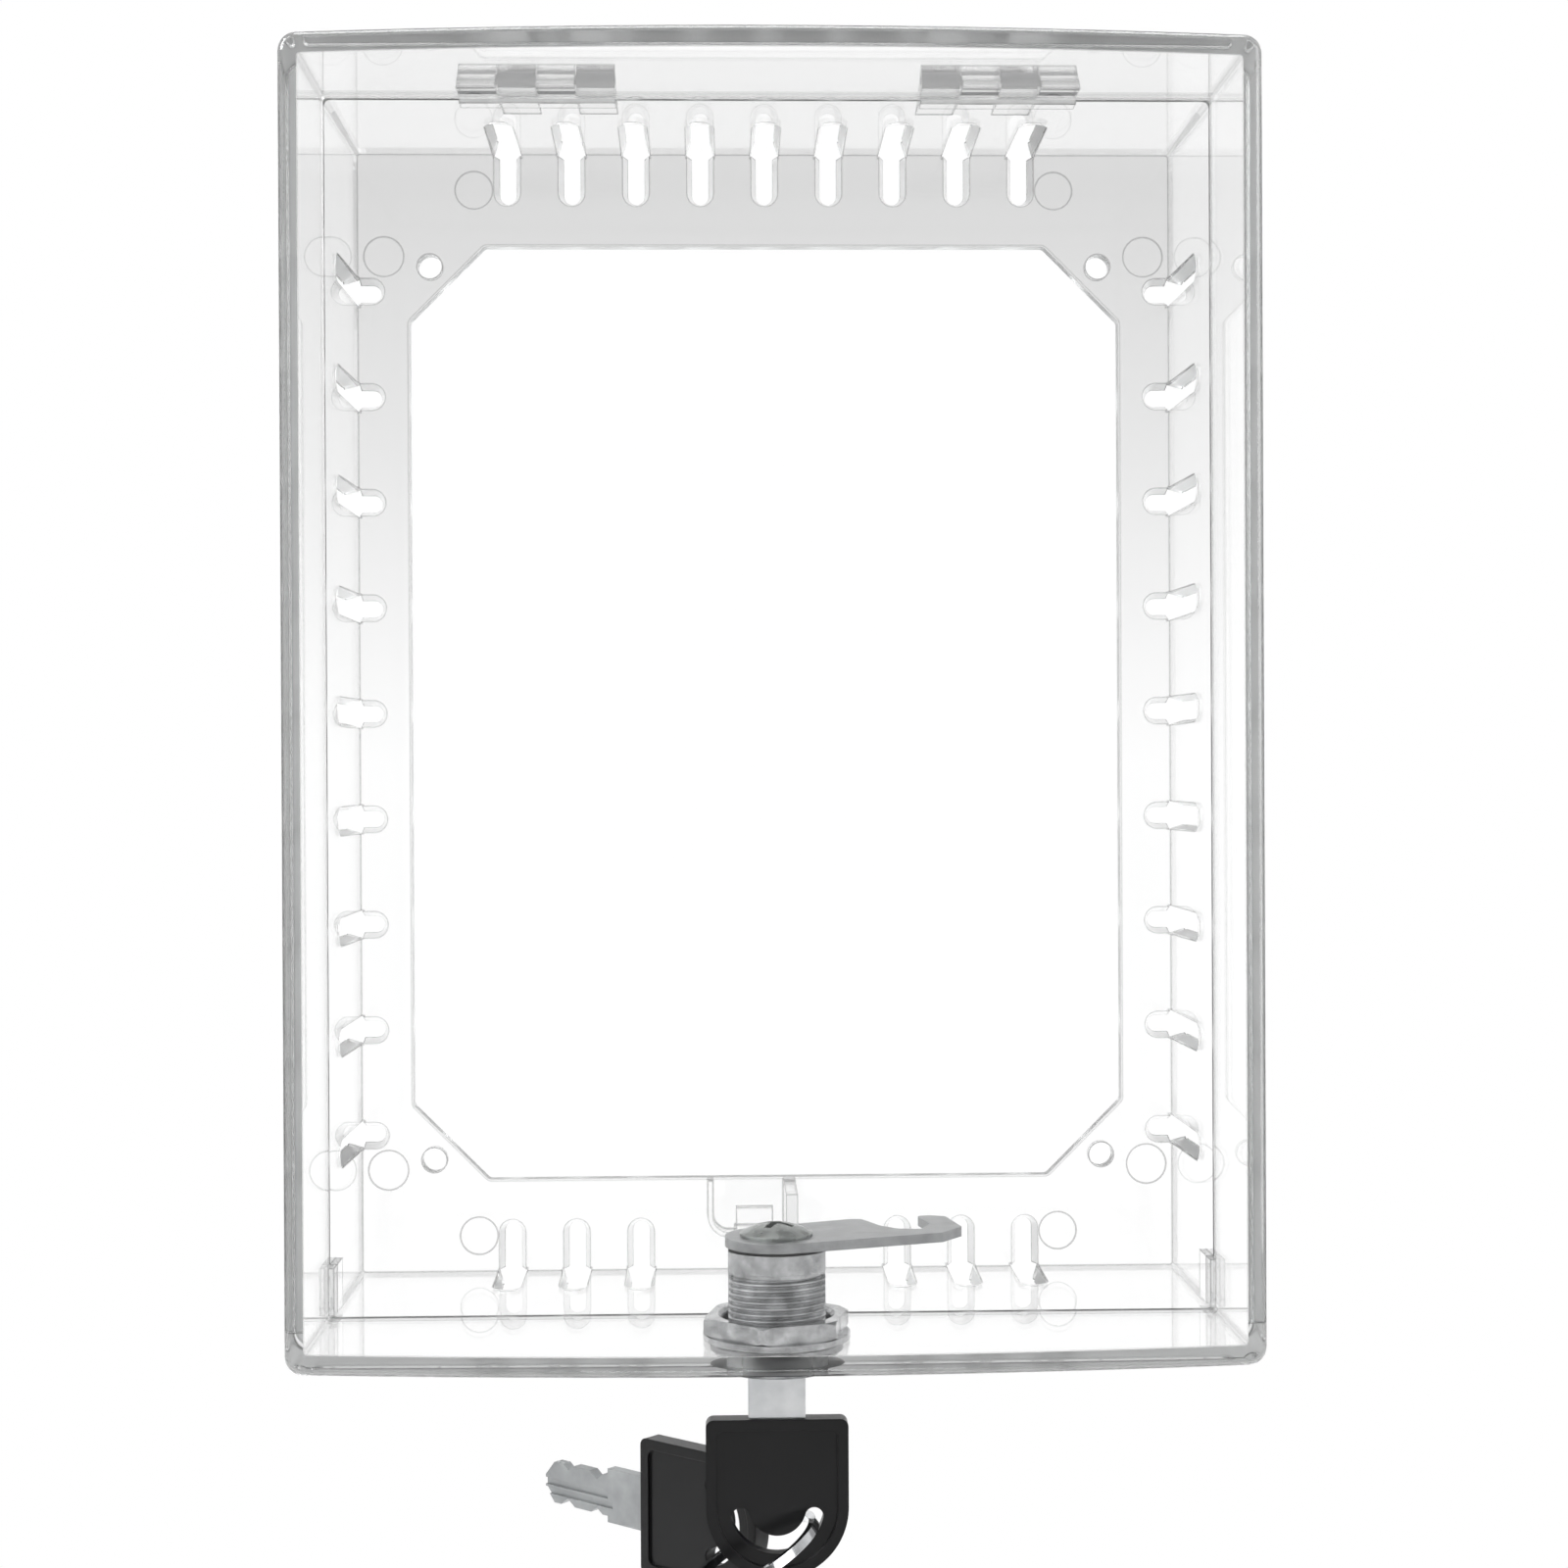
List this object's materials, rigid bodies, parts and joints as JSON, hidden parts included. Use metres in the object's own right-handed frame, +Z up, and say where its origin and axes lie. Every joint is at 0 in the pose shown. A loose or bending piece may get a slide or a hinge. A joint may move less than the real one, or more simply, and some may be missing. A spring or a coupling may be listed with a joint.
{
  "type": "thermostat lock box",
  "caption": "Clear plastic wall box with a hinged bowed cover, cam lock and keys, for locking over a wall thermostat",
  "frame": {"origin": "centre of the face that rests on the wall", "axes": "+Z up, +Y into the wall, the cover opens towards -Y"},
  "size_m": [0.159, 0.0758, 0.2641],
  "materials": {
    "clear_plastic": "clear moulded polycarbonate, polished",
    "pin_steel": "drawn steel pin",
    "zinc_plate": "bright zinc plating",
    "dark_zinc": "dulled zinc plating",
    "plug_brass": "nickel-plated brass",
    "wafer_brass": "stamped brass",
    "spring_steel": "bright spring steel",
    "key_steel": "nickel-plated steel",
    "black_plastic": "fine satin moulding",
    "ring_chrome": "nickel-plated spring steel"
  },
  "bodies": {
    "base": {"back_housing": "clear_plastic", "hinge_pin_left": "pin_steel", "hinge_pin_right": "pin_steel"},
    "cover": {"front_cover": "clear_plastic", "lock_body": "zinc_plate", "lock_washer": "zinc_plate", "lock_nut": "zinc_plate"},
    "lock_core": {"lock_plug": "plug_brass", "cam": "zinc_plate", "cam_screw": "dark_zinc", "wafer_1": "wafer_brass", "wafer_2": "wafer_brass", "wafer_3": "wafer_brass", "wafer_4": "wafer_brass", "wafer_5": "wafer_brass", "wafer_spring_1": "spring_steel", "wafer_spring_2": "spring_steel", "wafer_spring_3": "spring_steel", "wafer_spring_4": "spring_steel", "wafer_spring_5": "spring_steel"},
    "key": {"key_blade": "key_steel", "key_bow": "black_plastic"},
    "ring": {"key_ring": "ring_chrome"},
    "spare_key": {"spare_key_blade": "key_steel", "spare_key_bow": "black_plastic"}
  },
  "joints": [
    {"name": "cover_hinge", "type": "hinge", "parent": "base", "child": "cover", "pos_m": [0, -0.0395, 0.1108], "axis": [-1, 0, 0], "range_deg": [0, 110]},
    {"name": "lock_turn", "type": "hinge", "parent": "cover", "child": "lock_core", "pos_m": [0, -0.058, -0.1], "axis": [0, 0, 1], "range_deg": [-15, 74]},
    {"name": "key_slide", "type": "slide", "parent": "lock_core", "child": "key", "axis": [0, 0, -1], "range_m": [0, 0.025]},
    {"name": "ring_swing", "type": "hinge", "parent": "key", "child": "ring", "pos_m": [0.00586, -0.058, -0.13567], "axis": [0, -1, 0], "range_deg": [-10, 85]},
    {"name": "spare_key_swing", "type": "hinge", "parent": "ring", "child": "spare_key", "pos_m": [-0.00802, -0.04902, -0.14345], "axis": [-0.8127, -0.3635, -0.4554], "range_deg": [-10, 100]}
  ]
}
